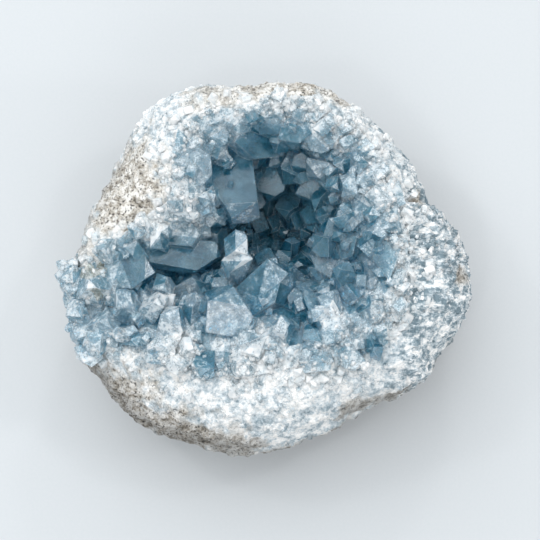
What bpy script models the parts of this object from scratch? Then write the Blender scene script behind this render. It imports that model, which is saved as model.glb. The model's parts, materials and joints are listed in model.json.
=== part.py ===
"""Half of a celestite geode, resting on its rounded back with the open hollow facing up.

It is two solids: the lumpy host rock, called the rind, and one crust of blue crystals grown together
over the hollow and out over the broken left edge. Metres, +Z up. The origin is the middle of the
geode's plan at the height of the surface that it rests on. +X is along its longest side, and +Y is
towards the steep side of the hollow.
"""

import math
import random

import bmesh
import bpy
from mathutils import Matrix, Vector, noise
from mathutils.bvhtree import BVHTree

MM = 0.001

# Driving dimensions, in millimetres. The plan is 151 by 135, and the highest crest is 70 up.
# The plan's outline, anticlockwise from the right-hand side, as (x, y).
OUTLINE = (
    (75.5, -9), (73.5, 0), (72.5, 8), (70, 13.5), (66.5, 18.5), (61.5, 22.5), (59.5, 25.5),
    (58, 30.5), (53.5, 38), (47, 45), (40.5, 52.5), (34.5, 57.5), (28.5, 60), (24, 64.5),
    (19, 67), (12.5, 67.5), (-0.5, 66), (-12.5, 65.5), (-19.5, 67), (-29.5, 66), (-38, 62.5),
    (-43.5, 59), (-48.5, 50), (-55.5, 34), (-64.5, 17), (-69, 4), (-70, -4), (-70.5, -14),
    (-69, -22), (-67, -29), (-63.5, -35), (-59.5, -39), (-55.5, -46.5), (-47.5, -56),
    (-35, -61.5), (-20, -65), (-11.5, -67.5), (-1.5, -66), (16.5, -61), (27, -57),
    (34.5, -52), (49, -46), (57, -42.5), (60.5, -37.5), (64, -30), (69, -23.5), (73, -18.5),
)
# By direction in degrees: width of the rounded rim, height of its crest, height of the girth
# where the plan is widest, and how steeply the hollow's wall falls, from 1 (a slope) to 2 (a bowl).
SECTORS = (
    (0, 23, 61, 37, 1.35),
    (40, 14, 65, 38, 1.6),
    (70, 12, 68, 40, 1.9),
    (100, 15, 69, 40, 2.0),
    (125, 21, 70, 40, 1.8),
    (150, 27, 67, 38, 1.5),
    (172, 17, 59, 36, 1.3),
    (190, 7, 51, 35, 1.2),
    (205, 9, 50, 34, 1.15),
    (225, 23, 54, 33, 1.15),
    (255, 25, 57, 32, 1.15),
    (285, 23, 58, 32, 1.15),
    (315, 18, 59, 34, 1.2),
    (340, 21, 60, 36, 1.3),
)
HOLLOW_CENTRE = (5, 19)
HOLLOW_FLOOR = 17
FOOT_CENTRE = (0, -4)
FOOT_RADIUS = 23
UNDERSIDE_START = 16  # degrees of slope where the underside leaves the flat foot

MERIDIANS = 52
UNDERSIDE_ROWS = 7
RIM_ROWS = 4
HOLLOW_ROWS = 9
LUMPS = ((2.4, 21), (1.5, 9))  # (height, spacing) of the rock's swells
CALM_HEIGHT = 9  # below this the swells fade out towards the flat foot

CRUST_GAP = 0.3
CRUST_SINK = 1.2  # how far the crust's raw back starts inside the rock, before the gap is cut
CRUST_DEPTH = 3.2
CRUST_EDGE_DEPTH = 1.0
CRUST_ROUGHNESS = 0.7
CRUST_RIM_ROWS = 0  # rows of the rim that the crust covers beyond the crest

# The large crystals: plan of the root, tip (x, y, z), width across, thickness, and roll in degrees.
# A root stands on the wall straight below its plan position.
LARGE_CRYSTALS = (
    ((-11.5, 41), (-10.5, 13.5, 59), 20, 14, 3),  # the big blue block that hangs over the hollow
    ((-9, 46), (6, 37, 53), 18, 9, -8),  # the dark wedge behind it
    ((-29, 36), (-18, 28.5, 61), 14, 10, 15),  # its textured neighbour on the left
    ((-18, 47), (-17.5, 45, 67), 11, 8, 0),
    ((-33, 17), (-20.5, 15.5, 57), 12, 10, -10),  # the pale frosted blocks left of the hollow
    ((-38, 9), (-21.5, 8, 56), 10, 9, 0),
    ((-44, 13), (-37, 9.5, 62), 9, 8, 25),
    ((-40, 20), (-32, 20, 62), 8, 7, 20),
    ((-24, 6), (-15, 10, 50), 11, 10, 30),  # the glassy block at the hollow's edge
    ((-46, 4), (-15.5, 0.5, 49), 13, 9, -5),  # the long blue face on the left slope
    ((-56, -4), (-38, -5, 55), 14, 9, 10),
    ((-32, -12), (-20, -7, 48), 12, 10, 25),
    ((-38, -14), (-34, -8, 56), 9, 8, 20),
    ((-62, -9), (-56, -11, 59), 15, 13, 10),  # the blocks of the broken left edge
    ((-66, -8), (-65, -6, 56), 9, 8, 0),
    ((-58, -25), (-54, -20, 57), 12, 9, 15),
    ((-63, -29), (-57, -29, 54), 10, 9, 40),
    ((-50, -21), (-46, -14, 61), 11, 9, 30),
    ((-42, -22), (-37, -13.5, 61), 9, 8, 10),
    ((-34, -29), (-29.5, -18.5, 61), 11, 10, 5),
    ((-25, -23), (-23.5, -12, 57), 8, 8, 40),
    ((-14, -26), (-10.5, -10.5, 61), 20, 16, 12),  # the wide pale crystal in the middle of the slope
    ((-13, -9), (-8.5, 3, 57), 9, 8, 45),  # the white point beside the hollow
    ((-5, -15), (10, -6, 56), 18, 13, -15),  # the pale rhomb at the hollow's edge
    ((0, -33), (1, -24.5, 59), 12, 9, 20),
    ((-20, -34), (-21, -43, 62), 9, 7, 0),
    ((-38, -36), (-36, -29, 61), 9, 8, 15),
    ((-8, -41), (-7, -34, 61), 9, 8, 30),
    ((30, -3), (16.5, 8, 46), 15, 12, -10),  # the deep blue face right of the hollow
    ((35, 8), (20, 12, 51), 11, 9, 10),
    ((47, -4), (36, 0, 57), 17, 13, 0),
    ((48, 12), (37, 11, 58), 12, 10, 20),
    ((35, -14), (26, -2.5, 54), 14, 12, 30),
    ((22, -25), (18.5, -12, 54), 13, 10, 10),
    ((25, -31), (22, -20, 59), 13, 10, 15),
    ((41, -22), (36, -14, 60), 11, 9, 35),
    ((31, -38), (29.5, -30, 61), 11, 10, 10),
    ((19, -40), (18, -32, 60), 13, 9, -10),
    ((39, -33), (37, -27, 59), 8, 8, 35),
    ((5, 38), (1, 25, 40), 14, 12, 5),  # the dark blocks of the far wall
    ((13, 41), (8, 29, 46), 14, 11, -20),
    ((21, 36), (15.5, 25, 42), 12, 12, -15),
    ((27, 33), (21.5, 27, 50), 11, 10, 20),
    ((13, 31), (8, 19, 34), 10, 9, 20),
    ((-8, 34), (-3, 22, 33), 12, 10, 10),
    ((26, 24), (16, 15, 37), 11, 9, 25),
    ((43, 33), (32.5, 25.5, 60), 12, 10, 10),  # the pale blocks of the right-hand wall
    ((49, 23), (39.5, 20.5, 61), 12, 10, -20),
    ((38, 41), (32, 34.5, 60), 12, 10, 15),
    ((3, 50), (4, 44.5, 61), 11, 9, 15),  # the row along the top
    ((12, 49), (10.5, 39, 61), 14, 11, -5),
    ((21, 47), (18.5, 38, 59), 11, 9, 0),
    ((19, 51), (19, 47, 65), 9, 8, 10),
    ((30, 47), (26, 41, 63), 12, 9, 20),
)
SMALLEST_EDGE = 0.002
SEED = 3
ROOT_NARROWING = 0.7
FLAT_LEAN = (18, 36)  # degrees that the two faces of a chisel point lean
STEEP_LEAN = (44, 62)
END_LEAN = (25, 50)
LARGE_FACETS = 2  # bevelled pairs of the prism's corners, and faces at the ends of the chisel point
SMALL_FACETS = 1
SMALL_CRYSTALS = 62
SMALL_WIDTH = (6, 9.5)
SMALL_SPACING = 6.2
SMALL_LENGTH = 1.45  # times the width
BROKEN_EDGE = range(6)  # lumps of crystal that stand out of the broken left edge
BROKEN_EDGE_START = (-71, -3)
BROKEN_EDGE_END = (-63, -33)


def smooth_loop(pairs):
    """A smooth function of direction through (angle, value) pairs, in radians, that closes on itself."""
    pairs = sorted(pairs)
    angles = [angle for angle, _ in pairs]
    values = [value for _, value in pairs]
    count = len(pairs)

    def knot(index):
        turns, place = divmod(index, count)
        return angles[place] + turns * math.tau, values[place]

    def slope(index):
        (before, low), (after, high) = knot(index - 1), knot(index + 1)
        return (high - low) / (after - before)

    def value_at(angle):
        angle = (angle - angles[0]) % math.tau + angles[0]
        index = max(i for i in range(count) if angles[i] <= angle)
        (start, low), (end, high) = knot(index), knot(index + 1)
        span = end - start
        t = (angle - start) / span
        rise = high - low
        first, last = slope(index) * span, slope(index + 1) * span
        return low + t * (first + t * (3 * rise - 2 * first - last + t * (first + last - 2 * rise)))

    return value_at


outline_radius = smooth_loop([(math.atan2(y, x), math.hypot(x, y)) for x, y in OUTLINE])
rim_width, crest_height, girth_height, wall_curve = (
    smooth_loop([(math.radians(sector[0]), sector[column]) for sector in SECTORS])
    for column in range(1, 5)
)


def plan_points(angle):
    """The foot's edge, the widest point and the crest in one direction, as plan vectors."""
    outward = Vector((math.cos(angle), math.sin(angle)))
    radius = outline_radius(angle)
    foot = Vector(FOOT_CENTRE) + outward * FOOT_RADIUS * radius / outline_radius(0)
    return foot, outward * radius, outward * (radius - rim_width(angle))


def underside_point(angle, share):
    """A point between the foot's edge, share 0, and the girth, share 1."""
    foot, girth, _ = plan_points(angle)
    start = math.radians(UNDERSIDE_START)
    slope = start + share * (math.pi / 2 - start)
    out = (math.sin(slope) - math.sin(start)) / (1 - math.sin(start))
    up = (math.cos(start) - math.cos(slope)) / math.cos(start)
    return (*foot.lerp(girth, out), girth_height(angle) * up)


def rim_point(angle, share):
    """A point between the girth, share 0, and the crest, share 1."""
    _, girth, crest = plan_points(angle)
    turn = share * math.pi / 2
    low, high = girth_height(angle), crest_height(angle)
    return (*crest.lerp(girth, math.cos(turn)), low + (high - low) * math.sin(turn))


def hollow_point(angle, share):
    """A point between the crest, share 0, and the middle of the hollow's floor, share 1."""
    _, _, crest = plan_points(angle)
    out = 1 - share
    climb = math.sin(math.pi / 2 * out ** wall_curve(angle))
    height = HOLLOW_FLOOR + (crest_height(angle) - HOLLOW_FLOOR) * climb
    return (*Vector(HOLLOW_CENTRE).lerp(crest, out), height)


def rock_rows():
    """The rock's surface as rings from the foot's edge to the hollow's floor, in metres, with no swells."""
    sections = (
        [(underside_point, i / UNDERSIDE_ROWS) for i in range(UNDERSIDE_ROWS)]
        + [(rim_point, i / RIM_ROWS) for i in range(RIM_ROWS)]
        + [(hollow_point, i / HOLLOW_ROWS) for i in range(HOLLOW_ROWS)]
    )
    turns = [math.tau * i / MERIDIANS for i in range(MERIDIANS)]
    return [[Vector(point(turn, share)) * MM for turn in turns] for point, share in sections]


def ring_faces(bm, lower, upper):
    for i in range(len(lower)):
        j = (i + 1) % len(lower)
        bm.faces.new((lower[i], lower[j], upper[j], upper[i]))


def closing_fan(bm, ring, middle):
    for i, vertex in enumerate(ring):
        bm.faces.new((vertex, ring[(i + 1) % len(ring)], middle))


def swell(point):
    """How far the rock's lumps lift its surface at a point."""
    return sum(
        height * noise.noise(point / (spacing * MM)) for height, spacing in LUMPS
    ) * MM


def object_of(bm, name, material=None, group=None):
    mesh = bpy.data.meshes.new(name)
    bm.to_mesh(mesh)
    bm.free()
    made = bpy.data.objects.new(name, mesh)
    (group or bpy.context.scene.collection).objects.link(made)
    if material:
        mesh.materials.append(material)
    return made


def helper(made):
    """Marks a cutter or another helper, which isn't a piece of the geode."""
    made.hide_render = True
    made.display_type = "WIRE"
    return made


def finish(name, colour, roughness, transmission=0.0):
    material = bpy.data.materials.new(name)
    material.use_nodes = True
    shader = material.node_tree.nodes["Principled BSDF"]
    shader.inputs["Base Color"].default_value = (*colour, 1)
    shader.inputs["Roughness"].default_value = roughness
    shader.inputs["Metallic"].default_value = 0
    shader.inputs["Transmission Weight"].default_value = transmission
    return material


def rind():
    """The host rock: flat foot, bowl-shaped back, rounded rim and the hollow's wall, with its swells."""
    bm = bmesh.new()
    rings = [[bm.verts.new(point) for point in row] for row in rock_rows()]
    foot = bm.faces.new(reversed(rings[0]))
    for lower, upper in zip(rings, rings[1:]):
        ring_faces(bm, lower, upper)
    floor = bm.verts.new(Vector((*HOLLOW_CENTRE, HOLLOW_FLOOR)) * MM)
    closing_fan(bm, rings[-1], floor)
    bm.normal_update()
    moves = [
        (vertex, vertex.normal * swell(vertex.co) * min(1, vertex.co.z / (CALM_HEIGHT * MM)))
        for vertex in bm.verts
    ]
    for vertex, move in moves:
        vertex.co += move
    bmesh.ops.triangulate(bm, faces=[face for face in bm.faces if face is not foot])
    return object_of(bm, "rind", finish("host rock", (0.74, 0.72, 0.68), 0.9))


def grown(source, distance):
    """The same closed surface moved out along its normals."""
    bm = bmesh.new()
    bm.from_mesh(source.data)
    bm.normal_update()
    moves = [(vertex, vertex.normal * distance) for vertex in bm.verts]
    for vertex, move in moves:
        vertex.co += move
    return helper(object_of(bm, "rind_clearance"))


def slab(rock):
    """The layer that the crystals grow from. It follows the hollow and starts a little inside the rock."""
    first = UNDERSIDE_ROWS + RIM_ROWS - CRUST_RIM_ROWS
    vertices = rock.data.vertices
    rows = HOLLOW_ROWS + CRUST_RIM_ROWS
    bm = bmesh.new()
    front, back = [], []
    for row in range(rows):
        inward = min(1, row / (CRUST_RIM_ROWS + 2))
        depth = CRUST_EDGE_DEPTH + (CRUST_DEPTH - CRUST_EDGE_DEPTH) * inward
        start = (first + row) * MERIDIANS
        ring = [vertices[start + i] for i in range(MERIDIANS)]
        rough = [noise.noise(v.co / (5 * MM)) * CRUST_ROUGHNESS for v in ring]
        front.append([bm.verts.new(v.co + v.normal * (depth + r) * MM) for v, r in zip(ring, rough)])
        back.append([bm.verts.new(v.co - v.normal * CRUST_SINK * MM) for v in ring])
    for surface in (front, back):
        for lower, upper in zip(surface, surface[1:]):
            ring_faces(bm, lower, upper)
    floor = vertices[len(vertices) - 1]
    closing_fan(bm, front[-1], bm.verts.new(floor.co + floor.normal * CRUST_DEPTH * MM))
    closing_fan(bm, back[-1], bm.verts.new(floor.co - floor.normal * CRUST_SINK * MM))
    ring_faces(bm, back[0], front[0])
    bmesh.ops.recalc_face_normals(bm, faces=bm.faces)
    bmesh.ops.triangulate(bm, faces=bm.faces)
    colour = (0.42, 0.58, 0.70)
    return object_of(bm, "crystal_crust", finish("celestite", colour, 0.12, 0.8))


def slice_off(bm, point, normal):
    """Cuts a flat face on a convex solid, keeping what is behind the plane."""
    parts = bm.verts[:] + bm.edges[:] + bm.faces[:]
    cut = bmesh.ops.bisect_plane(
        bm, geom=parts, dist=1e-7, plane_co=point, plane_no=normal, clear_outer=True
    )
    rim = [part for part in cut["geom_cut"] if isinstance(part, bmesh.types.BMEdge)]
    if len(rim) > 2:
        bmesh.ops.contextual_create(bm, geom=rim)


def add_crystal(group, place, width, thickness, length, dice, facets):
    """Adds one celestite crystal: a flattened prism with a narrowed root and a chisel point."""
    bm = bmesh.new()
    size = Matrix.Diagonal((width, thickness, length * 1.3, 1))
    bmesh.ops.create_cube(bm, size=1, matrix=size @ Matrix.Translation((0, 0, 0.5)))
    for vertex in bm.verts:
        if vertex.co.z < length / 2:
            vertex.co.xy *= ROOT_NARROWING
    side = math.radians(dice.uniform(44, 54))
    reach = 0.5 * (width * math.cos(side) + thickness * math.sin(side)) * dice.uniform(0.84, 0.93)
    for turn in (side, math.pi - side)[:facets]:
        across = Vector((math.cos(turn), math.sin(turn), -0.12))
        slice_off(bm, across * reach, across)
        across.xy *= -1
        slice_off(bm, Vector((*(across.xy * reach), 0)), across)
    tip = Vector((dice.uniform(-0.12, 0.12) * width, 0, length))
    flat_side = dice.choice((-1, 1))
    for sign in (-1, 1):
        lean = math.radians(dice.uniform(*(FLAT_LEAN if sign == flat_side else STEEP_LEAN)))
        slice_off(bm, tip, Vector((sign * math.sin(lean), 0, math.cos(lean))))
    for sign in (-1, 1)[:facets]:
        lean = math.radians(dice.uniform(*END_LEAN))
        end = tip + Vector((0, sign * dice.uniform(0.05, 0.25) * thickness, 0))
        slice_off(bm, end, Vector((0, sign * math.sin(lean), math.cos(lean))))
    bm.transform(place)
    bmesh.ops.recalc_face_normals(bm, faces=bm.faces)
    helper(object_of(bm, "crystal_to_join", group=group))


def placed(root, direction, roll):
    """The frame of a crystal that grows along direction from root, with its width near level."""
    along = direction.normalized()
    across = Vector((-along.y, along.x, 0))
    if across.length < 0.05:
        across = Vector((1, 0, 0))
    across.normalize()
    frame = Matrix((across, along.cross(across), along)).transposed().to_4x4()
    return Matrix.Translation(root) @ frame @ Matrix.Rotation(roll, 4, "Z")


def standing_on(tree, x, y):
    """Where the rock's upper surface is at a plan position, and its normal."""
    spot, normal, _, _ = tree.ray_cast(Vector((x * MM, y * MM, 1)), Vector((0, 0, -1)))
    return spot, normal


def large_crystals(group, tree, dice):
    for (x, y), tip, width, thickness, roll in LARGE_CRYSTALS:
        spot, normal = standing_on(tree, x, y)
        root = spot + normal * CRUST_GAP * MM
        reach = Vector(tip) * MM - root
        place = placed(root, reach, math.radians(roll))
        add_crystal(group, place, width * MM, thickness * MM, reach.length, dice, LARGE_FACETS)


def clear_of_large(x, y):
    """Whether a small crystal here isn't swallowed by a large one."""
    spot = Vector((x, y))
    for root, tip, width, _, _ in LARGE_CRYSTALS:
        start, end = Vector(root), Vector(tip[:2])
        along = end - start
        share = max(0, min(1, (spot - start).dot(along) / along.length_squared))
        if (spot - start - along * share).length < width * 0.34:
            return False
    return True


def small_crystals(group, tree, dice):
    """Smaller crystals between the large ones, spaced apart and leaning at random off the wall."""
    taken = []
    tries = 0
    while len(taken) < SMALL_CRYSTALS and tries < 6000:
        tries += 1
        angle = dice.uniform(0, math.tau)
        share = math.sqrt(dice.uniform(0, 1))
        _, _, crest = plan_points(angle)
        spot = Vector(HOLLOW_CENTRE).lerp(crest, share * 0.98)
        if any((spot - other).length < SMALL_SPACING for other in taken):
            continue
        if not clear_of_large(*spot):
            continue
        taken.append(spot)
        root, normal = standing_on(tree, *spot)
        lean = Vector([dice.uniform(-1, 1) for _ in range(3)])
        width = dice.uniform(*SMALL_WIDTH) * (1 - 0.35 * share) * MM
        place = placed(root + normal * CRUST_GAP * MM, normal + lean * 0.45, dice.uniform(0, 3))
        thickness = width * dice.uniform(0.7, 0.95)
        add_crystal(group, place, width, thickness, width * SMALL_LENGTH, dice, SMALL_FACETS)


def edge_crystals(group, tree, dice):
    """Blunt crystals that stand out sideways where the rim is broken away on the left."""
    start, end = Vector(BROKEN_EDGE_START), Vector(BROKEN_EDGE_END)
    for i in BROKEN_EDGE:
        spot = start.lerp(end, i / (len(BROKEN_EDGE) - 1))
        inner = spot * 0.93
        root, _ = standing_on(tree, *inner)
        outward = Vector((*spot.normalized(), 0))
        width = dice.uniform(11, 13) * MM
        place = placed(root - Vector((0, 0, 1 * MM)), outward, dice.uniform(0, 3))
        length = dice.uniform(8, 9) * MM
        add_crystal(group, place, width, width * 0.8, length, dice, LARGE_FACETS)


def crystals(rock):
    """Every crystal as an overlapping solid in one group, to be joined to the slab."""
    dice = random.Random(SEED)
    tree = BVHTree.FromObject(rock, bpy.context.evaluated_depsgraph_get())
    group = bpy.data.collections.new("crystals_to_join")
    bpy.context.scene.collection.children.link(group)
    large_crystals(group, tree, dice)
    small_crystals(group, tree, dice)
    edge_crystals(group, tree, dice)
    return group


def join(target, group):
    modifier = target.modifiers.new("Join", "BOOLEAN")
    modifier.operand_type = "COLLECTION"
    modifier.collection = group
    modifier.operation = "UNION"
    modifier.solver = "EXACT"


def cut(target, cutter):
    """Cuts with the Manifold solver, because the exact one loses the whole crust here."""
    modifier = target.modifiers.new("Cut", "BOOLEAN")
    modifier.object = cutter
    modifier.operation = "DIFFERENCE"
    modifier.solver = "MANIFOLD"


def surfaces(bm):
    """The closed surfaces of a mesh, each as a list of its vertices."""
    found = []
    left = set(bm.verts)
    while left:
        seed = left.pop()
        surface = [seed]
        for vertex in surface:
            around = {edge.other_vert(vertex) for edge in vertex.link_edges} & left
            left -= around
            surface.extend(around)
        found.append(surface)
    return found


def fill_pockets(target):
    """Applies the crust's Booleans and fills the small pockets that its crystals seal off."""
    graph = bpy.context.evaluated_depsgraph_get()
    joined = bpy.data.meshes.new_from_object(target.evaluated_get(graph))
    bm = bmesh.new()
    bm.from_mesh(joined)
    pockets = sorted(surfaces(bm), key=len)[:-1]
    bmesh.ops.delete(bm, geom=[vertex for pocket in pockets for vertex in pocket], context="VERTS")
    bmesh.ops.triangulate(bm, faces=bm.faces)
    bmesh.ops.dissolve_degenerate(bm, dist=SMALLEST_EDGE * MM, edges=bm.edges)
    bmesh.ops.triangulate(bm, faces=bm.faces)
    target.modifiers.clear()
    bm.to_mesh(target.data)
    bm.free()
    bpy.data.meshes.remove(joined)


def centre_plan(pieces):
    """Moves the geode so that the origin is in the middle of its plan."""
    points = [vertex.co for piece in pieces for vertex in piece.data.vertices]
    middle = [(min(p[axis] for p in points) + max(p[axis] for p in points)) / 2 for axis in (0, 1)]
    for piece in pieces:
        piece.data.transform(Matrix.Translation((-middle[0], -middle[1], 0)))
        piece.data.update()


def main():
    for old in list(bpy.data.objects):
        bpy.data.objects.remove(old)
    rock = rind()
    crust = slab(rock)
    join(crust, crystals(rock))
    cut(crust, grown(rock, CRUST_GAP * MM))
    fill_pockets(crust)
    centre_plan((rock, crust))


main()
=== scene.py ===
"""Looks of the celestite geode: granular host rock with a weathered skin, and a crust of clear to milky
pale blue crystals, lit softly from above on a pale floor. Metres, +Z up."""

import json
import math
import random

import bmesh
import bpy
import numpy as np
from mathutils import Matrix, Vector, noise
from mathutils.bvhtree import BVHTree

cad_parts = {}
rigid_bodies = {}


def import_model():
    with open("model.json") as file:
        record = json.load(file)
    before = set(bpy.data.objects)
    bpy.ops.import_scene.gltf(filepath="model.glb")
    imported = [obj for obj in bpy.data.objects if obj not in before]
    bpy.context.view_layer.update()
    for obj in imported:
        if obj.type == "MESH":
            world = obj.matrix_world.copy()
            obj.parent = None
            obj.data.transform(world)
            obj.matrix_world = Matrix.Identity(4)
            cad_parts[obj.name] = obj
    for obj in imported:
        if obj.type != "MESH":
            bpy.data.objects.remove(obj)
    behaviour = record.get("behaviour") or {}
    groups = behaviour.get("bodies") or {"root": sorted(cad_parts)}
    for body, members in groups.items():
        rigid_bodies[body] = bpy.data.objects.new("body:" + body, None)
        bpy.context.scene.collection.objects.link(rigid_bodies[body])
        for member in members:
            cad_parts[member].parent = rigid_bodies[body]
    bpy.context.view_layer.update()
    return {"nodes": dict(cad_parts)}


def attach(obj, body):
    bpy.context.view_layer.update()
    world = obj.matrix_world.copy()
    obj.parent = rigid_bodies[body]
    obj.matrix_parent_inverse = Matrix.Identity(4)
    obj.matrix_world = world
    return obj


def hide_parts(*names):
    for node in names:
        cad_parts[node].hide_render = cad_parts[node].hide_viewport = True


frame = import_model()

MM = 0.001
SCENE = bpy.context.scene
RIND = frame["nodes"]["rind"]
CRUST = frame["nodes"]["crystal_crust"]
WELD_DISTANCE = 2e-6

# Camera, matched to the photograph
CAMERA_ELEVATION = 79
CAMERA_DISTANCE = 0.55
CAMERA_TARGET = (0.0015, 0.0005, 0.036)
CAMERA_LENS = 100
CAMERA_SENSOR = 36

# Lights, in metres and watts: name, place, aim, size, power and colour
LIGHTS = (
    ("key", (-0.3, 0.45, 1.0), (0, 0, 0.04), 1.4, 11, (0.95, 0.98, 1)),
    ("front", (0.1, -0.9, 0.8), (0, -0.1, 0.04), 0.7, 3, (0.97, 0.99, 1)),
)
# Small lights that make the facets glint
GLINT_LIGHTS = (
    ("glint_left", (-0.5, 0.25, 0.75)),
    ("glint_right", (0.45, 0.2, 0.8)),
    ("glint_far", (0.15, 0.7, 0.6)),
    ("glint_near", (-0.2, -0.35, 0.9)),
    ("glint_side", (0.7, -0.1, 0.5)),
)
GLINT_AIM = (0, 0, 0.04)
GLINT_SIZE = 0.09
GLINT_POWER = 0.6
SKY_COLOUR = (0.94, 0.97, 1, 1)
SKY_STRENGTH = 0.6
FLOOR_REACH = 3
MAX_BOUNCES = 16
CLEAR_BOUNCES = 12

# Rock, in millimetres
ROCK_SUBDIVISIONS = 3
ROCK_BUMPS = ((1.0, 7), (1.0, 3.4), (0.8, 1.7), (0.4, 0.9))  # (height, spacing)
# Noise that bends or frays something: (how much, spacing)
LEDGE_BENDS = ((1.6, 6),)
SLIT_BENDS = ((0.5, 2.5),)
FLECK_EDGE = ((0.8, 1.2),)
SKIN_EDGE = ((0.5, 6), (0.4, 2.1))
OUTSIDE_EDGE = ((0.8, 9),)
STAIN_EDGE = ((0.5, 2),)
RESTING_FADE = 6  # the relief dies out over this height, down to the spot that the rock rests on
LEDGES = ((58, 10, 57), 20, 2.8, 2.2)  # centre, radius, spacing and height of the right-hand ledges
LEDGE_TILT = 0.2
LEDGE_FADE = 3  # the ledges fade out over the outer third of their radius
# Narrow slits in the rock: centre, half length, half width and depth
SLITS = (((53, 21.5, 57), 7, 1.0, 3.5), ((57, -19, 56), 8, 0.7, 2.0))
FLECKS = (((53, -13, 60), 3.5), ((56, -6, 59), 3), ((44, 15, 59), 2.5))  # blue-grey flecks: centre, radius
FLECK_FADE = 2  # a fleck fades out over the outer half of its radius
OUTSIDE_TOP = 36  # below this height skin spreads over the outside
OUTSIDE_FADE = 8  # and this much lower it covers it
MOUTH_MIDDLE = (5, 19, 60)  # rock that faces this point is inside the hollow
SKIN_OVERLAP = 1.05
SKIN_FADE = 2.5
# Where else the skin covers the rock: centre (x, y, z), radius and strength
SKIN_PATCHES = (
    ((-52, 26, 58), 22, 1.0),
    ((-62, 8, 48), 14, 0.6),
    ((-18, 59, 63), 12, 0.8),
    ((0, 62, 62), 11, 0.9),
    ((12, 62, 64), 9, 1.0),
    ((24, 60, 61), 9, 0.9),
    ((-56, -38, 36), 14, 0.9),
    ((-47, -50, 38), 20, 1.0),
    ((-30, -60, 38), 18, 1.0),
    ((-12, -64, 40), 12, 0.9),
    ((32, -51, 42), 8, 0.9),
    ((45, -47, 37), 10, 0.9),
    ((70, -4, 50), 5, 0.9),
    ((55, 22, 57), 4, 1.0),
)

# Places in plan where the crystals are clear and dark, or white with frost: (x, y), radius, milk. The darkest
# ones sit on the gaps between crystals and in the deep hollow, where their dark colour is partly painted
# shade.
MILK_AND_SHADE_PATCHES = (
    ((-11, 27), 12, 0.08),
    ((-2, 42), 10, -0.05),
    ((8, 24), 17, -0.1),
    ((20, 8), 10, 0.05),
    ((36, 0), 11, 0.2),
    ((28, -7), 8, 0.3),
    ((10, 41), 8, 0.25),
    ((-20, 30), 7, 0.35),
    ((-15, 10), 6, 0.1),
    ((-27, 13), 9, 0.65),
    ((-40, 14), 10, 0.85),
    ((-30, 2), 11, 0.15),
    ((-46, -5), 9, 0.1),
    ((-23, -7), 6, 0.15),
    ((-57, -10), 10, 0.65),
    ((-56, -22), 8, 0.5),
    ((-46, -16), 7, 0.55),
    ((-36, -15), 8, 0.8),
    ((-30, -21), 6, 0.5),
    ((-23, -17), 5, 0.3),
    ((-11, -15), 11, 0.4),
    ((-9, 1), 6, 0.85),
    ((4, -9), 10, 0.45),
    ((9, -18), 7, -0.2),
    ((1, -26), 7, 0.7),
    ((-20, -38), 7, 0.3),
    ((14, -26), 7, -0.15),
    ((20, -13), 7, 0.3),
    ((23, -21), 7, 0.9),
    ((29, -33), 7, 0.45),
    ((18, -34), 8, 0.5),
    ((37, -32), 6, -0.05),
    ((33, 26), 7, 0.6),
    ((41, 21), 8, 0.75),
    ((26, 41), 6, 0.6),
    ((32, 34), 6, 0.3),
    ((19, 46), 6, 0.8),
    ((-18, 45), 7, 0.5),
    ((-30, -32), 9, 0.9),
    ((-5, -36), 9, 0.85),
)
# Away from those places the milk goes by height, in millimetres, and by nearness to the border
MILK_START = 40
MILK_CLIMB = 20
HIGH_MILK = 0.42
BORDER_START = 0.7
BORDER_MILK = 0.36
BORDER_KEPT = 0.4  # the share of the border's own milk that the places above leave
PATCH_FALLOFF = 1.5
PATCH_HOLD = 2.5
NO_WEIGHT = 1e-6
FACET_MIX = (284, 548, 132)  # so large that faces with nearly the same direction still differ
FACET_MILK = 0.12
CLOUD_MILK = 0.2
CLOUD_SPACING = 4
STAINS = (((-59, -4), 4), ((-63, -3), 3), ((-59, -12), 3))  # yellow stains: place in plan, radius

# A crystal one unit wide and long, with angles in degrees
SHAPE_SEED = 3
PROTOTYPES = 36
BLOCK_LENGTH = 1.3  # before the tip is cut
ROOT_WIDTH = 0.75
CORNER_CHANCE = 0.75
CORNER_TURN = 12
CORNER_SLOPE = -0.1
CORNER_PLACE = (0.5, 0.62)  # how far out from the middle a corner is cut off
TIP_SHIFT = (0.15, 0.1)
TIP_LEAN = (22, 52)
TIP_TURN = 20
TIP_DROP = 0.08
CUT_PRECISION = 1e-6
SIDE_HINT = (0.31, 0.87, 0.38)  # a slanting direction, to tell a crystal's sides from

# Crystals that are added to the crust's large ones: (how many, width range, length over width)
CRYSTAL_SIZES = (
    (210, (6.0, 10.5), 0.9),
    (170, (3.6, 6.0), 1.0),
    (140, (2.4, 3.6), 1.0),
)
CRUST_SEED = 11
GROWTH_LOWEST = -0.35  # faces whose normal points further down carry no crystals
SLIVER_AREA = 1e-8
THIN_CRUST = 5.5  # what is higher above the rock, in millimetres, is the side of a large crystal
LARGE_BARE = 0.95  # the share of the crystals that is left out there
GROWTH = (0.8, 0.5, 0.55)  # how much a crystal follows the wall, the crust's face and chance
CRYSTAL_DEPTH = (0.65, 1)
CRYSTAL_LENGTH = (0.8, 1.3)
CRYSTAL_SINK = 0.35
BORDER_CRYSTALS = 0.85  # past this share of the crust's reach the crystals get smaller
BORDER_SHRINK = 0.6
LEFT_BORDER = -45  # in millimetres; the crystals that break out on the left shrink less
LEFT_SHRINK = 0.85
ROLL_RANGE = (0, 6)
HOLLOW_MIDDLE = (5, 19)
REACH_STEPS = 48

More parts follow.
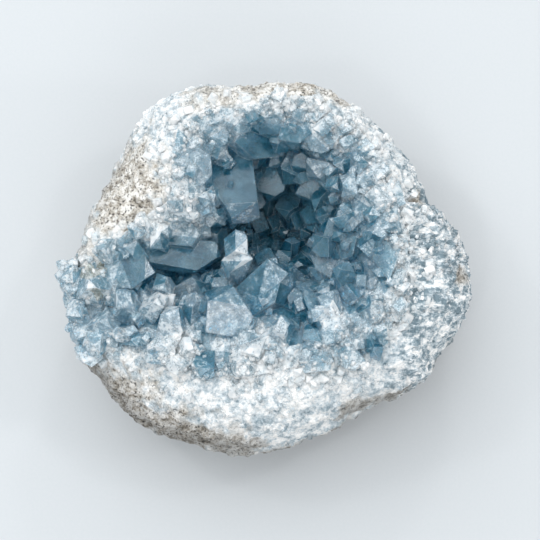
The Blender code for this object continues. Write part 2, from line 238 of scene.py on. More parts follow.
# Grains and small crystals heaped on the pieces: how many, width range in millimetres, seed, how far
# they lean, and how deep they are sunk as a share of their length
RIM_GRAINS = (6400, (0.5, 2.1), 5, 0.8, 0.65)
RIM_CRYSTALS = (1700, (1.2, 4.6), 6, 0.6, 0.45)
DRUSE = (3200, (0.5, 2.1), 8, 0.8, 0.55)
GRAIN_SHIFT = 0.3
GRAIN_DEPTH = (0.6, 1)
GRAIN_LENGTH = (0.7, 1.3)
GRAIN_MILK = 0.25  # grains are this much milkier than the crystals around them
GRAIN_MILK_CHANCE = 0.2
GRAIN_TONE = 0.9
GRAIN_TONE_CHANCE = 0.25
# Where they lie, in millimetres
RIM_REACH = 12  # how far from the crust the small crystals of the rim thin out
RIM_START = 22
RIM_CLIMB = 25
RIM_COVERED = 0.35  # rock closer than this to the crust is under it
RIM_FALLOFF = 1.5
SKIN_CLEARS = 0.85  # how much of the sugar the skin keeps away
LEDGES_CLEAR = 0.7  # how much of it the ledges keep away
CLUMP_SPACING = 5
CLUMP_MEAN = 0.45
CLUMP_STRENGTH = 1.6
CLUMP_LEAST = 0.02
DRUSE_START = 46
DRUSE_CLIMB = 12
DRUSE_HIGHEST = 6.5  # the druse fades out towards this height above the rock
DRUSE_FADE = 3
DRUSE_LOWEST = -0.2  # faces whose normal points further down carry no druse
DRUSE_MILK = (2.5, 1.2)  # how fast the druse thickens with milk, and what is taken off
DRUSE_LEAST = 0.005

# Noises in the materials: scale, detail and roughness
CLOUDS = (150, 5, 0.65)
FROST = (380, 8, 0.78)
CRACK_PATCHES = (170, 3, 0.7)
CRYSTAL_TOOTH = (900, 4, 0.65)
MOTTLE = (190, 9, 0.8)
STREAKS = (330, 7, 0.75)
SPECKS = (1100, 3, 0.6)
WEATHERING = (300, 6, 0.8)
ROCK_TOOTH = (1100, 4, 0.7)
PAPER = (900, 2, 0.55)

# Celestite
BODY_COLOURS = (
    (0.1, (0.02, 0.19, 0.29)),
    (0.35, (0.19, 0.48, 0.63)),
    (0.65, (0.53, 0.74, 0.86)),
    (1.0, (0.80, 0.90, 0.95)),
)
CLOUD_FADE = ((0.36, 0.0), (0.64, 1.0))
TONE_WEIGHT = 0.25
CLOUD_WEIGHT = 0.25
MILK_WEIGHT = 0.75
STAIN_COLOUR = (0.74, 0.63, 0.42)
STAIN_FADE = ((0.1, 0.0), (0.5, 0.6))
FROST_COLOUR = (0.95, 0.95, 0.94)
FROST_FADE = ((0.62, 0.0), (0.86, 1.0))
FROST_MILK = 0.32  # how much milk helps the frost
# Painted highlight: how much white is laid along the crystals' sharp edges
PAINTED_EDGE_HIGHLIGHT = 0.65
EDGE_RADIUS = 0.18
EDGE_FADE = ((0.86, 1.0), (0.99, 0.0))  # by how well the rounded normal agrees with the true one
SOFT_RADIUS = 0.45  # how far the shading rounds off the edges, in millimetres
BEVEL_SAMPLES = 4
TOOTH_STRENGTH = 0.25
TOOTH_DEPTH = 0.3
CELESTITE_IOR = 1.62
CELESTITE_SPECULAR = 0.3
# From clear to white
ROUGHNESS_RANGE = ((0.0, 0.14), (1.0, 0.5))
TRANSMISSION_RANGE = ((0.0, 0.75), (1.0, 0.15))
ABSORPTION_COLOUR = (0.08, 0.6, 0.77, 1)
ABSORPTION_DENSITY = 70
# Healed cracks inside the crystals, as thin rings
CRACK_RINGS = (("Scale", 90), ("Distortion", 14), ("Detail", 3), ("Detail Scale", 1.4))
RING_FADE = ((0.9, 0.0), (0.98, 1.0))
CRACK_FADE = ((0.45, 0.0), (0.56, 1.0))
CRACK_MILK = ((0.2, 0.0), (0.6, 0.5))  # only milky crystals show them

# Host rock
GRAIN_CELLS = 700
CELL_SHARE = 0.12
FLECK_DEPTH = 0.1
ROCK_COLOURS = ((0.40, (0.18, 0.25, 0.29)), (0.50, (0.50, 0.57, 0.61)), (0.61, (0.93, 0.92, 0.90)))
SKIN_COLOURS = ((0.36, (0.16, 0.14, 0.11)), (0.46, (0.46, 0.42, 0.36)), (0.56, (0.84, 0.82, 0.78)))
SPECK_COLOUR = (0.06, 0.055, 0.05)
SPECK_FADE = ((0.38, 1.0), (0.43, 0.0))
SKIN_TOP = 70
# Painted shade: the skin is darkened lower down, partly darker skin, partly the shade of the underside that
# faces away from the light
SKIN_PAINTED_SHADE = ((0.1, 0.5), (0.57, 0.5), (0.8, 1.0))  # by height over SKIN_TOP: darker lower down
HALF_LENGTH = 75
RIGHT_FADE = ((0.5, 0.0), (0.7, 1.0))  # by place across over HALF_LENGTH
STREAK_STRETCH = 3
STREAK_TURN = 12
STREAK_MIDDLE = 0.54
STREAK_STRENGTH = 1.3
ROCK_ROUGHNESS = 0.75
# Bumps: strength, and depth in millimetres
CELL_BUMP = (0.7, -0.8)
TOOTH_BUMP = (0.6, 0.6)

# Floor
PAPER_COLOURS = ((0.3, (0.555, 0.58, 0.595)), (0.7, (0.57, 0.59, 0.605)))
PAPER_ROUGHNESS = 0.9


# Numbers

def clamp(value):
    """A value kept between 0 and 1."""
    return max(0, min(1, value))


def either_way(dice, most):
    """A random number from -most to most."""
    return dice.uniform(-most, most)


def random_lean(dice):
    """A random vector, to lean something with."""
    return Vector([either_way(dice, 1) for _ in range(3)])


def picked(steps, dice):
    """The number of an entry, drawn by its share of a running total."""
    return min(int(np.searchsorted(steps, dice.random() * steps[-1])), len(steps) - 1)


def rough(spot, waves):
    """Noise at a place, as a sum of waves. waves are (how much, spacing)."""
    return sum(much * noise.noise(spot / spacing) for much, spacing in waves)


# Meshes

def welded(source):
    """A copy of a solid's mesh as one closed surface."""
    bm = bmesh.new()
    bm.from_mesh(source.data)
    bmesh.ops.remove_doubles(bm, verts=bm.verts, dist=WELD_DISTANCE)
    bm.normal_update()
    return bm


def object_from(bm, name):
    """An object of the mesh, which is used up."""
    mesh = bpy.data.meshes.new(name)
    bm.to_mesh(mesh)
    bm.free()
    made = bpy.data.objects.new(name, mesh)
    SCENE.collection.objects.link(made)
    return made


def apply_modifiers(obj):
    """Replaces an object's mesh by what its modifiers make of it."""
    graph = bpy.context.evaluated_depsgraph_get()
    mesh = bpy.data.meshes.new_from_object(obj.evaluated_get(graph))
    obj.modifiers.clear()
    old = obj.data
    obj.data = mesh
    bpy.data.meshes.remove(old)


def column(items, field, width=1, kind=np.float32):
    """One field of all the vertices, faces or other items of a mesh, as an array."""
    values = np.empty(len(items) * width, kind)
    items.foreach_get(field, values)
    return values.reshape(-1, width) if width > 1 else values


def paint(mesh, name, values, domain="FACE"):
    """Stores one number per face, or per point, for the material to read."""
    layer = mesh.attributes.new(name, "FLOAT", domain)
    layer.data.foreach_set("value", np.asarray(values, np.float32))


# Crystal shapes

def slice_off(bm, point, normal):
    """Cuts a flat face on a convex solid, keeping what is behind the plane."""
    parts = bm.verts[:] + bm.edges[:] + bm.faces[:]
    cut = bmesh.ops.bisect_plane(
        bm, geom=parts, dist=CUT_PRECISION, plane_co=point, plane_no=normal, clear_outer=True
    )
    rim = [part for part in cut["geom_cut"] if isinstance(part, bmesh.types.BMEdge)]
    if len(rim) > 2:
        bmesh.ops.contextual_create(bm, geom=rim)


def cut_corners(bm, dice):
    """Takes most of a block's upright corners off."""
    for turn in range(4):
        if dice.random() < CORNER_CHANCE:
            angle = math.radians(45 + 90 * turn + either_way(dice, CORNER_TURN))
            across = Vector((math.cos(angle), math.sin(angle), CORNER_SLOPE))
            slice_off(bm, Vector((across.x, across.y, 0)) * dice.uniform(*CORNER_PLACE), across)


def cut_tip(bm, dice):
    """Gives a block a point of four leaning faces."""
    tip = Vector((*(either_way(dice, shift) for shift in TIP_SHIFT), 1))
    for turn in range(4):
        lean = math.radians(dice.uniform(*TIP_LEAN))
        angle = math.radians(90 * turn + either_way(dice, TIP_TURN))
        out = Vector((math.sin(lean) * math.cos(angle), math.sin(lean) * math.sin(angle), math.cos(lean)))
        slice_off(bm, tip - out * dice.uniform(0, TIP_DROP), out)


def prototype(dice):
    """A crystal one unit wide and long, as points and triangles: a prism with a chisel point."""
    bm = bmesh.new()
    size = Matrix.Diagonal((1, 1, BLOCK_LENGTH, 1))
    bmesh.ops.create_cube(bm, size=1, matrix=size @ Matrix.Translation((0, 0, 0.5)))
    for vertex in bm.verts:
        if vertex.co.z < 0.5:
            vertex.co.xy *= ROOT_WIDTH
    cut_corners(bm, dice)
    cut_tip(bm, dice)
    bmesh.ops.triangulate(bm, faces=bm.faces)
    bmesh.ops.recalc_face_normals(bm, faces=bm.faces)
    bm.verts.index_update()
    points = np.array([vertex.co[:] for vertex in bm.verts])
    faces = np.array([[vertex.index for vertex in face.verts] for face in bm.faces])
    bm.free()
    return points, faces


def heap(name, shapes, places, home=SCENE.collection):
    """One object of many copies of the shapes. places are (shape number, 4x4 matrix)."""
    points, faces, start = [], [], 0
    for number, matrix in places:
        shape, triangles = shapes[number]
        points.append(shape @ matrix[:3, :3].T + matrix[:3, 3])
        faces.append(triangles + start)
        start += len(shape)
    points, faces = np.concatenate(points), np.concatenate(faces)
    mesh = bpy.data.meshes.new(name)
    mesh.vertices.add(len(points))
    mesh.vertices.foreach_set("co", points.astype(np.float32).ravel())
    mesh.loops.add(len(faces) * 3)
    mesh.loops.foreach_set("vertex_index", faces.astype(np.int32).ravel())
    mesh.polygons.add(len(faces))
    mesh.polygons.foreach_set("loop_start", np.arange(0, len(faces) * 3, 3, dtype=np.int32))
    mesh.polygons.foreach_set("use_smooth", np.zeros(len(faces), bool))
    mesh.update(calc_edges=True)
    made = bpy.data.objects.new(name, mesh)
    home.objects.link(made)
    return made


def standing(root, along, roll, size):
    """A matrix that stands a unit crystal on root, growing along a direction. size is (x, y, z)."""
    along = along.normalized()
    side = along.cross(Vector(SIDE_HINT)).normalized()
    turned = Matrix((side, along.cross(side), along)).transposed().to_4x4()
    turned = turned @ Matrix.Rotation(roll, 4, "Z") @ Matrix.Diagonal((*size, 1))
    return np.array(Matrix.Translation(root) @ turned)


def sampled(faces, count, dice):
    """Random spots on triangles, as (point, normal), evenly spread over their area."""
    areas = np.cumsum([face.calc_area() for face in faces])
    for _ in range(count):
        face = faces[picked(areas, dice)]
        a, b = sorted((dice.random(), dice.random()))
        corners = [vertex.co for vertex in face.verts]
        yield corners[0] * a + corners[1] * (b - a) + corners[2] * (1 - b), face.normal


# Crystal crust

def compass_step(off):
    """The number of the step of angle that a direction in plan falls in."""
    return int(math.atan2(off.y, off.x) / math.tau * REACH_STEPS) % REACH_STEPS


def reach_table():
    """How far the crust reaches in plan from the hollow's middle, in metres, in even steps of angle."""
    reach = np.zeros(REACH_STEPS)
    for vertex in CRUST.data.vertices:
        off = vertex.co.xy - Vector(HOLLOW_MIDDLE) * MM
        step = compass_step(off)
        reach[step] = max(reach[step], off.length)
    return (reach + np.roll(reach, 1) + np.roll(reach, -1)) / 3


REACH = reach_table()


def edge_share(spot):
    """0 in the middle of the crust, 1 at its border."""
    off = spot.xy - Vector(HOLLOW_MIDDLE) * MM
    return off.length / REACH[compass_step(off)]


def growing_crystals(faces, shapes, rock):
    """The smaller crystals of the crust, in a collection. They grow from its faces and away from the rock."""
    dice = random.Random(CRUST_SEED)
    group = bpy.data.collections.new("growing")
    SCENE.collection.children.link(group)
    by_wall, by_face, by_chance = GROWTH
    for number, (count, widths, stretch) in enumerate(CRYSTAL_SIZES):
        for spot, normal in sampled(faces, count, dice):
            _, wall, _, distance = rock.find_nearest(spot)
            if distance > THIN_CRUST * MM and dice.random() < LARGE_BARE:
                continue
            along = wall * by_wall + normal * by_face + random_lean(dice) * by_chance
            width = dice.uniform(*widths) * MM
            if edge_share(spot) > BORDER_CRYSTALS:
                width *= LEFT_SHRINK if spot.x < LEFT_BORDER * MM else BORDER_SHRINK
            depth = width * dice.uniform(*CRYSTAL_DEPTH)
            length = width * stretch * dice.uniform(*CRYSTAL_LENGTH)
            root = spot - along.normalized() * width * CRYSTAL_SINK
            place = standing(root, along, dice.uniform(*ROLL_RANGE), (width, depth, length))
            heap(f"grow_{number}", shapes, [(dice.randrange(len(shapes)), place)], group)
    return group


def crust_piece(shapes, rock):
    """The crystal crust: the solid crust with many smaller crystals grown into it as one surface."""
    bm = welded(CRUST)
    bmesh.ops.triangulate(bm, faces=bm.faces)
    upward = [f for f in bm.faces if f.normal.z > GROWTH_LOWEST and f.calc_area() > SLIVER_AREA]
    group = growing_crystals(upward, shapes, rock)
    crust = object_from(bm, "crystals")
    union = crust.modifiers.new("Grow", "BOOLEAN")
    union.operand_type = "COLLECTION"
    union.collection = group
    union.operation = "UNION"
    union.solver = "MANIFOLD"
    apply_modifiers(crust)
    for helper in list(group.objects):
        bpy.data.objects.remove(helper)
    bpy.data.collections.remove(group)
    return crust


def milkiness(spot):
    """How milky the crystal at a place is, from 0 (clear) to 1 (white): most of all at the rim."""
    place = spot.xy / MM
    total = weight = NO_WEIGHT
    # The clear, dark places include painted shade on the gaps between crystals and in the deep hollow
    for centre, radius, milk in MILK_AND_SHADE_PATCHES:
        near = max(0, 1 - (place - Vector(centre)).length / radius) ** PATCH_FALLOFF
        total += near * milk
        weight += near
    rise = clamp((spot.z / MM - MILK_START) / MILK_CLIMB)
    border = clamp((edge_share(spot) - BORDER_START) / (1 - BORDER_START))
    common = rise * HIGH_MILK + border * BORDER_MILK
    share = min(1, weight * PATCH_HOLD) * (1 - BORDER_KEPT * border)
    return common + (total / weight - common) * share


def tone_of(normal):
    """A number that is the same all over a flat face and differs at random between faces."""
    return 0.5 + 0.5 * math.sin(sum(part * mix for part, mix in zip(normal, FACET_MIX)))


def stain_at(spot):
    """How strong the yellow stain is at a place, in millimetres, from 0 to 1."""
    near = [1 - (spot.xy - Vector(centre)).length / radius for centre, radius in STAINS]
    return clamp(max(near) + rough(spot, STAIN_EDGE))


def paint_crust(mesh):
    """Chooses how milky, dark and stained each facet is."""
    tones, milk = [], []
    for polygon in mesh.polygons:
        tone = tone_of(polygon.normal)
        clouds = CLOUD_MILK * noise.noise(polygon.center / (CLOUD_SPACING * MM))
        tones.append(tone)
        milk.append(milkiness(polygon.center) + FACET_MILK * (tone - 0.5) + clouds)
    paint(mesh, "milk", np.clip(milk, 0, 1))
    paint(mesh, "tone", tones)
    paint(mesh, "stain", [stain_at(polygon.center / MM) for polygon in mesh.polygons])


# Host rock

def ledge_share(spot):
    """1 on the ledges of the right-hand bulge, 0 away from them."""
    centre, radius, _, _ = LEDGES
    return clamp(LEDGE_FADE - LEDGE_FADE * (spot - Vector(centre)).length / radius)


def ledges(spot):
    """The layered ledges of the right-hand bulge, as a height in millimetres."""
    _, _, spacing, height = LEDGES
    step = (spot.y + LEDGE_TILT * spot.x + rough(spot, LEDGE_BENDS)) / spacing % 1
    return height * ledge_share(spot) * (step - 0.5)


def slits(spot):
    """The narrow slits, as a height in millimetres."""
    total = 0
    for centre, length, width, depth in SLITS:
        off = spot - Vector(centre)
        aside = off.y - rough(spot, SLIT_BENDS)
        total -= depth * max(0, 1 - (off.x / length) ** 2) * math.exp(-(aside / width) ** 2)
    return total


def fleck_share(spot):
    """1 in the middle of a blue-grey fleck, 0 away from them."""
    near = [1 - (spot - Vector(centre)).length / radius for centre, radius in FLECKS]
    return clamp(FLECK_FADE * max(near) + rough(spot, FLECK_EDGE))


def skin_at(spot, normal):
    """How much weathered skin covers the rock at a place, in millimetres, from 0 to 1."""
    ragged = 1 + rough(spot, SKIN_EDGE)
    cover = clamp((OUTSIDE_TOP - spot.z) / OUTSIDE_FADE + rough(spot, OUTSIDE_EDGE))
    if normal.dot(spot - Vector(MOUTH_MIDDLE)) < 0:
        cover = 0
    for centre, radius, strength in SKIN_PATCHES:
        off = (spot - Vector(centre)).length / (radius * ragged)
        cover = max(cover, strength * clamp((SKIN_OVERLAP - off) * SKIN_FADE))
    return cover


def rock_piece():
    """The host rock: the solid rind made dense and rough."""
    rock = object_from(welded(RIND), "rock")
    smooth = rock.modifiers.new("Smooth", "SUBSURF")
    smooth.levels = smooth.render_levels = ROCK_SUBDIVISIONS
    apply_modifiers(rock)
    mesh = rock.data
    points, normals = column(mesh.vertices, "co", 3), column(mesh.vertices, "normal", 3)
    spots = [Vector(point) / MM for point in points]
    lift = np.array([rough(spot, ROCK_BUMPS) + ledges(spot) + slits(spot) for spot in spots])
    lift *= np.clip(points[:, 2] / (RESTING_FADE * MM), 0, 1) * MM
    points = points + normals * lift[:, None]
    mesh.vertices.foreach_set("co", points.astype(np.float32).ravel())
    mesh.update()
    skin = [skin_at(spot, Vector(normal)) for spot, normal in zip(spots, normals)]
    paint(mesh, "skin", skin, "POINT")
    paint(mesh, "tone", [0.5 - 2 * fleck_share(spot) for spot in spots], "POINT")
    mesh.polygons.foreach_set("use_smooth", np.ones(len(mesh.polygons), bool))
    return rock


# Grains and small crystals

def sown(name, mesh, shapes, weights, count, widths, seed, lean, sink):
    """Small crystals strewn over a mesh, as thick as the weights of its faces say, half sunk into it."""
    dice = random.Random(seed)
    centres, normals = column(mesh.polygons, "center", 3), column(mesh.polygons, "normal", 3)
    steps = np.cumsum(weights)
    narrowest, widest = widths
    places, tones, milk, skin = [], [], [], []
    for _ in range(count):
        face = picked(steps, dice)
        spot, normal = Vector(centres[face]), Vector(normals[face])
        along = (normal + random_lean(dice) * lean).normalized()
        spot += normal.orthogonal() * either_way(dice, GRAIN_SHIFT) * MM
        width = narrowest + (widest - narrowest) * dice.random() ** 2
        shares = (1, dice.uniform(*GRAIN_DEPTH), dice.uniform(*GRAIN_LENGTH))
        size = [width * MM * share for share in shares]
        number = dice.randrange(len(shapes))
        root = spot - along * size[2] * sink
        places.append((number, standing(root, along, dice.uniform(*ROLL_RANGE), size)))
        faces = len(shapes[number][1])
        clouds = GRAIN_TONE * noise.noise(spot / (CLOUD_SPACING * MM))
        tones += [0.5 + clouds + either_way(dice, GRAIN_TONE_CHANCE)] * faces
        milk += [milkiness(spot) + GRAIN_MILK + either_way(dice, GRAIN_MILK_CHANCE)] * faces
        skin += [skin_at(spot / MM, normal)] * faces
    heaped = heap(name, shapes, places)
    paint(heaped.data, "skin", skin)
    paint(heaped.data, "tone", np.clip(tones, 0, 1))
    paint(heaped.data, "milk", np.clip(milk, 0, 1))
    return heaped


def distance_to(tree, centres):
    """How far each place is from a surface, in millimetres."""
    return np.array([tree.find_nearest(Vector(spot))[3] for spot in centres]) / MM


def face_skin(mesh):
    """How much skin each face of the rock has, read at its first corner."""
    skin = column(mesh.attributes["skin"].data, "value")
    corners = column(mesh.loops, "vertex_index", kind=np.int32)
    return skin[corners[column(mesh.polygons, "loop_start", kind=np.int32)]]


def rim_pieces(rock, crust_tree, shapes):
    """The sugary rim: grains all over it, and small crystals that thin out away from the crust."""
    mesh = rock.data
    areas, centres = column(mesh.polygons, "area"), column(mesh.polygons, "center", 3)
    bare = (1 - SKIN_CLEARS * face_skin(mesh)) ** 2
    off = distance_to(crust_tree, centres)
    high = np.clip((centres[:, 2] / MM - RIM_START) / RIM_CLIMB, 0, 1)
    covered = off < RIM_COVERED
    clumps = [noise.noise(Vector(spot) / (CLUMP_SPACING * MM)) for spot in centres]
    clumps = np.clip(CLUMP_MEAN + CLUMP_STRENGTH * np.array(clumps), CLUMP_LEAST, 1)
    ledged = np.array([ledge_share(Vector(spot) / MM) for spot in centres])
    strewn = areas * high * bare * clumps * (1 - LEDGES_CLEAR * ledged) * ~covered
    grains = sown("rim_grains", mesh, shapes, strewn, *RIM_GRAINS)
    fading = areas * bare * np.clip(1 - off / RIM_REACH, 0, 1) ** RIM_FALLOFF * clumps * ~covered
    return grains, sown("rim_crystals", mesh, shapes, fading, *RIM_CRYSTALS)


def druse_piece(crust, rock_tree, shapes):
    """White sugar between the crystals, on the shallow parts of the crust."""
    mesh = crust.data
    areas, centres = column(mesh.polygons, "area"), column(mesh.polygons, "center", 3)
    off = distance_to(rock_tree, centres)
    high = np.clip((centres[:, 2] / MM - DRUSE_START) / DRUSE_CLIMB, 0, 1)
    low = np.clip((DRUSE_HIGHEST - off) / DRUSE_FADE, 0, 1)
    upward = column(mesh.polygons, "normal", 3)[:, 2] > DRUSE_LOWEST
    thickening, threshold = DRUSE_MILK
    milky = column(mesh.attributes["milk"].data, "value") * thickening - threshold
    weights = areas * high * low * upward * np.clip(milky, DRUSE_LEAST, 1)
    return sown("druse", mesh, shapes, weights, *DRUSE)


# Nodes of the materials

def material(name):
    """A new material, its node tree and its shader."""
    made = bpy.data.materials.new(name)
    made.use_nodes = True
    return made, made.node_tree, made.node_tree.nodes["Principled BSDF"]


def node(tree, kind, values=()):
    """A new node. values are (name of an input, value)."""
    made = tree.nodes.new(kind)
    for name, value in values:
        made.inputs[name].default_value = value
    return made


def link(tree, output, target):
    tree.links.new(output, target)


def own_place(tree):
    """The place on the object, in metres."""
    return node(tree, "ShaderNodeTexCoord").outputs["Object"]


def noise_over(tree, place, scale, detail, roughness):
    """A noise texture over a place."""
    values = (("Scale", scale), ("Detail", detail), ("Roughness", roughness))
    made = node(tree, "ShaderNodeTexNoise", values)
    link(tree, place, made.inputs["Vector"])
    return made.outputs["Fac"]


def object_noise(tree, scale, detail, roughness):
    """A noise texture over the object."""
    return noise_over(tree, own_place(tree), scale, detail, roughness)


def streaky_noise(tree, scale, detail, roughness):
    """Noise drawn out along X, like the edges of thin layers."""
    values = (("Scale", (1 / STREAK_STRETCH, 1, 1)), ("Rotation", (0, 0, math.radians(STREAK_TURN))))
    drawn = node(tree, "ShaderNodeMapping", values)
    link(tree, own_place(tree), drawn.inputs["Vector"])
    return noise_over(tree, drawn.outputs["Vector"], scale, detail, roughness)


def object_cells(tree, scale):
    """Small cells all over the object, one for each grain."""
    made = node(tree, "ShaderNodeTexVoronoi", (("Scale", scale),))
    link(tree, own_place(tree), made.inputs["Vector"])
    return made.outputs


def ramp(tree, source, stops):
    """A colour ramp. stops are (position, colour), with a colour as one grey value or three."""
    made = node(tree, "ShaderNodeValToRGB")
    elements = made.color_ramp.elements
    while len(elements) < len(stops):
        elements.new(0.5)
    for element, (position, colour) in zip(elements, stops):
        element.position = position
        element.color = (*colour, 1) if hasattr(colour, "__len__") else (colour, colour, colour, 1)
    link(tree, source, made.inputs["Fac"])
    return made.outputs["Color"]


def mixed(tree, factor, first, second, blend="MIX"):
    """Two colours mixed by a factor. Each may be a socket or a value."""
    made = node(tree, "ShaderNodeMix")
    made.data_type = "RGBA"
    made.blend_type = blend
    factor_socket, first_socket, second_socket = (made.inputs[number] for number in (0, 6, 7))
    if isinstance(factor, bpy.types.NodeSocket):
        link(tree, factor, factor_socket)
    else:
        factor_socket.default_value = factor
    for colour, socket in ((first, first_socket), (second, second_socket)):
        if isinstance(colour, bpy.types.NodeSocket):
            link(tree, colour, socket)
        else:
            socket.default_value = (*colour, 1)
    return made.outputs[2]


def attribute(tree, name):
    """A number that was painted on the mesh."""
    made = node(tree, "ShaderNodeAttribute")
    made.attribute_name = name
    return made.outputs["Fac"]


def mathematics(tree, operation, *values):
    """A sum, product or the like of sockets and numbers."""
    made = node(tree, "ShaderNodeMath")
    made.operation = operation
    for socket, value in zip(made.inputs, values):
        if isinstance(value, bpy.types.NodeSocket):
            link(tree, value, socket)
        else:
            socket.default_value = value
    return made.outputs[0]


def rounded_normal(tree, radius):
    """The normal with the sharp edges rounded off, by a radius in millimetres."""
    rounded = node(tree, "ShaderNodeBevel", (("Radius", radius * MM),))
    rounded.samples = BEVEL_SAMPLES
    return rounded.outputs["Normal"]


def bump(tree, height, strength, depth, normal=None):
    """A bumped normal, on top of another one. The depth is in millimetres."""
    made = node(tree, "ShaderNodeBump", (("Strength", strength), ("Distance", depth * MM)))
    link(tree, height, made.inputs["Height"])
    if normal:
        link(tree, normal, made.inputs["Normal"])
    return made.outputs["Normal"]


# Celestite

def edge_mask(tree):
    """1 along the sharp edges of a surface, 0 on its faces."""
    rounded = rounded_normal(tree, EDGE_RADIUS)
    geometry = node(tree, "ShaderNodeNewGeometry")
    agree = node(tree, "ShaderNodeVectorMath")
    agree.operation = "DOT_PRODUCT"
    link(tree, rounded, agree.inputs[0])
    link(tree, geometry.outputs["True Normal"], agree.inputs[1])
    return ramp(tree, agree.outputs["Value"], EDGE_FADE)


def arcs(tree):
    """Thin curved lines in patches, like the healed cracks inside celestite."""
    wave = node(tree, "ShaderNodeTexWave", CRACK_RINGS)
    wave.wave_type = "RINGS"
    link(tree, own_place(tree), wave.inputs["Vector"])
    lines = ramp(tree, wave.outputs["Fac"], RING_FADE)
    patches = ramp(tree, object_noise(tree, *CRACK_PATCHES), CRACK_FADE)
    return mathematics(tree, "MULTIPLY", lines, patches)


def body_colour(tree, milk):
    """From clear dark blue to milky, with yellow stains; the dark blue is partly painted shade in the gaps
    and the deep hollow.
    """
    cloud = ramp(tree, object_noise(tree, *CLOUDS), CLOUD_FADE)
    parts = ((attribute(tree, "tone"), TONE_WEIGHT), (cloud, CLOUD_WEIGHT), (milk, MILK_WEIGHT))
    share = 0
    for part, weight in parts:
        share = mathematics(tree, "ADD", share, mathematics(tree, "MULTIPLY", part, weight))
    body = ramp(tree, share, BODY_COLOURS)
    stained = ramp(tree, attribute(tree, "stain"), STAIN_FADE)
    return mixed(tree, stained, body, STAIN_COLOUR)


def whiteness(tree, milk):
    """Where frost and healed cracks make the crystals white, with a painted highlight along the sharp edges.
    """
    helped = mathematics(tree, "MULTIPLY", milk, FROST_MILK)
    level = mathematics(tree, "ADD", object_noise(tree, *FROST), helped)
    frost = ramp(tree, level, FROST_FADE)
    # Painted highlight along the sharp edges
    edges = mathematics(tree, "MULTIPLY", edge_mask(tree), PAINTED_EDGE_HIGHLIGHT)
    lines = mathematics(tree, "MULTIPLY", arcs(tree), ramp(tree, milk, CRACK_MILK))
    return mathematics(tree, "MAXIMUM", mathematics(tree, "MAXIMUM", edges, lines), frost)


def crystal_material():
    """Celestite: clear dark blue to milky, with white frost, arcs and a painted highlight along the edges."""
    made, tree, shader = material("celestite")
    milk = attribute(tree, "milk")
    body = body_colour(tree, milk)
    white = whiteness(tree, milk)
    link(tree, mixed(tree, white, body, FROST_COLOUR), shader.inputs["Base Color"])
    link(tree, ramp(tree, white, ROUGHNESS_RANGE), shader.inputs["Roughness"])
    link(tree, ramp(tree, white, TRANSMISSION_RANGE), shader.inputs["Transmission Weight"])
    shader.inputs["IOR"].default_value = CELESTITE_IOR
    shader.inputs["Specular IOR Level"].default_value = CELESTITE_SPECULAR
    rounded = rounded_normal(tree, SOFT_RADIUS)
    tooth = bump(tree, object_noise(tree, *CRYSTAL_TOOTH), TOOTH_STRENGTH, TOOTH_DEPTH, rounded)
    link(tree, tooth, shader.inputs["Normal"])
    absorb = node(tree, "ShaderNodeVolumeAbsorption")
    absorb.inputs["Color"].default_value = ABSORPTION_COLOUR
    absorb.inputs["Density"].default_value = ABSORPTION_DENSITY
    link(tree, absorb.outputs[0], tree.nodes["Material Output"].inputs["Volume"])
    return made


# Rock and floor materials

def streaks(tree, x):
    """Thin layers, paler and darker, that only the right-hand bulge shows."""
    across = mathematics(tree, "MULTIPLY", x, 1 / (HALF_LENGTH * MM))
    right = ramp(tree, across, RIGHT_FADE)
    layers = mathematics(tree, "SUBTRACT", streaky_noise(tree, *STREAKS), STREAK_MIDDLE)
    layers = mathematics(tree, "MULTIPLY", layers, STREAK_STRENGTH)
    return mathematics(tree, "MULTIPLY", right, layers)


def skin_colour(tree, z):
    """Beige weathered skin with dark specks, darker lower down, partly as painted shade of the underside."""
    specks = ramp(tree, object_noise(tree, *SPECKS), SPECK_FADE)
    beige = ramp(tree, object_noise(tree, *WEATHERING), SKIN_COLOURS)
    beige = mixed(tree, specks, beige, SPECK_COLOUR)
    # Painted shade, in part: darker lower down
    height = mathematics(tree, "MULTIPLY", z, 1 / (SKIN_TOP * MM))
    return mixed(tree, 1.0, beige, ramp(tree, height, SKIN_PAINTED_SHADE), "MULTIPLY")


def rock_material():
    """White granular rock mottled with blue-grey, under a beige weathered skin with dark specks."""
    made, tree, shader = material("host_rock")
    cells = object_cells(tree, GRAIN_CELLS)
    mottle = mixed(tree, CELL_SHARE, object_noise(tree, *MOTTLE), cells["Color"])
    flecks = mathematics(tree, "MULTIPLY", attribute(tree, "tone"), FLECK_DEPTH)
    mottle = mathematics(tree, "ADD", mottle, flecks)
    place = node(tree, "ShaderNodeSeparateXYZ")
    link(tree, own_place(tree), place.inputs[0])
    mottle = mathematics(tree, "ADD", mottle, streaks(tree, place.outputs["X"]))
    grains = ramp(tree, mottle, ROCK_COLOURS)
    skin = skin_colour(tree, place.outputs["Z"])
    link(tree, mixed(tree, attribute(tree, "skin"), grains, skin), shader.inputs["Base Color"])
    shader.inputs["Roughness"].default_value = ROCK_ROUGHNESS
    normal = bump(tree, cells["Distance"], *CELL_BUMP)
    normal = bump(tree, object_noise(tree, *ROCK_TOOTH), *TOOTH_BUMP, normal)
    link(tree, normal, shader.inputs["Normal"])
    return made


def floor_material():
    """Pale paper with a hardly visible tooth."""
    made, tree, shader = material("floor")
    link(tree, ramp(tree, object_noise(tree, *PAPER), PAPER_COLOURS), shader.inputs["Base Color"])
    shader.inputs["Roughness"].default_value = PAPER_ROUGHNESS
    return made


# Stage

def add_floor():
    """The pale floor that the geode lies on."""
    bm = bmesh.new()
    bmesh.ops.create_grid(bm, x_segments=1, y_segments=1, size=FLOOR_REACH)
    floor = object_from(bm, "floor")
    floor.data.materials.append(floor_material())


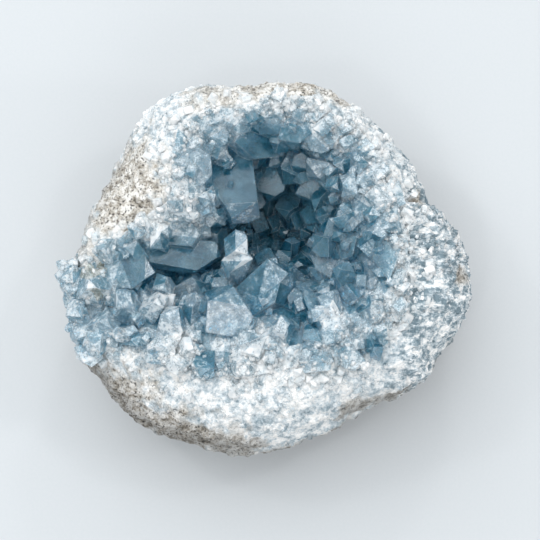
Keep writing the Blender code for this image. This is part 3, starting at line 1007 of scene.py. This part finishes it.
def area_light(name, place, target, size, power, colour=(1, 1, 1)):
    """A square light that shines from a place at a target."""
    light = bpy.data.lights.new(name, "AREA")
    light.shape = "SQUARE"
    light.size = size
    light.energy = power
    light.color = colour
    made = bpy.data.objects.new(name, light)
    SCENE.collection.objects.link(made)
    made.location = place
    made.rotation_euler = (Vector(target) - Vector(place)).to_track_quat("-Z", "Y").to_euler()


def add_lights():
    """A soft box high above the far side, a weak one in front, small ones for glints, and a sky."""
    for light in LIGHTS:
        area_light(*light)
    for name, place in GLINT_LIGHTS:
        area_light(name, place, GLINT_AIM, GLINT_SIZE, GLINT_POWER)
    world = bpy.data.worlds.new("studio")
    SCENE.world = world
    world.use_nodes = True
    background = world.node_tree.nodes["Background"]
    background.inputs["Color"].default_value = SKY_COLOUR
    background.inputs["Strength"].default_value = SKY_STRENGTH


def add_camera():
    """The camera, nearly straight above the geode."""
    camera = bpy.data.objects.new("camera", bpy.data.cameras.new("camera"))
    SCENE.collection.objects.link(camera)
    tilt = math.radians(CAMERA_ELEVATION)
    back = Vector((0, -math.cos(tilt), math.sin(tilt)))
    camera.location = Vector(CAMERA_TARGET) + back * CAMERA_DISTANCE
    camera.rotation_euler = (-back).to_track_quat("-Z", "Y").to_euler()
    camera.data.lens = CAMERA_LENS
    camera.data.sensor_width = CAMERA_SENSOR
    SCENE.camera = camera


def dress(pieces, made):
    """Gives the pieces their material."""
    for piece in pieces:
        piece.data.materials.clear()
        piece.data.materials.append(made)


def build():
    """Makes the crust and the rock, heaps the sugar on them, and dresses them all."""
    dice = random.Random(SHAPE_SEED)
    shapes = [prototype(dice) for _ in range(PROTOTYPES)]
    graph = bpy.context.evaluated_depsgraph_get()
    rock_tree, crust_tree = (BVHTree.FromObject(piece, graph) for piece in (RIND, CRUST))
    crust = crust_piece(shapes, rock_tree)
    paint_crust(crust.data)
    druse = druse_piece(crust, rock_tree, shapes)
    rock = rock_piece()
    grains, edge = rim_pieces(rock, crust_tree, shapes)
    dress((crust, druse, edge), crystal_material())
    dress((rock, grains), rock_material())
    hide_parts("crystal_crust")
    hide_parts("rind")
    for piece, slot in ((crust, "celestite"), (druse, "celestite"), (edge, "celestite"),
                        (rock, "host_rock"), (grains, "host_rock")):
        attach(piece, "root")


def render_settings():
    """A plain look, with enough bounces for light to leave the crystals again."""
    SCENE.view_settings.view_transform = "Standard"
    SCENE.cycles.use_denoising = True
    SCENE.cycles.max_bounces = MAX_BOUNCES
    SCENE.cycles.transmission_bounces = CLEAR_BOUNCES


build()
add_floor()
add_lights()
add_camera()
render_settings()
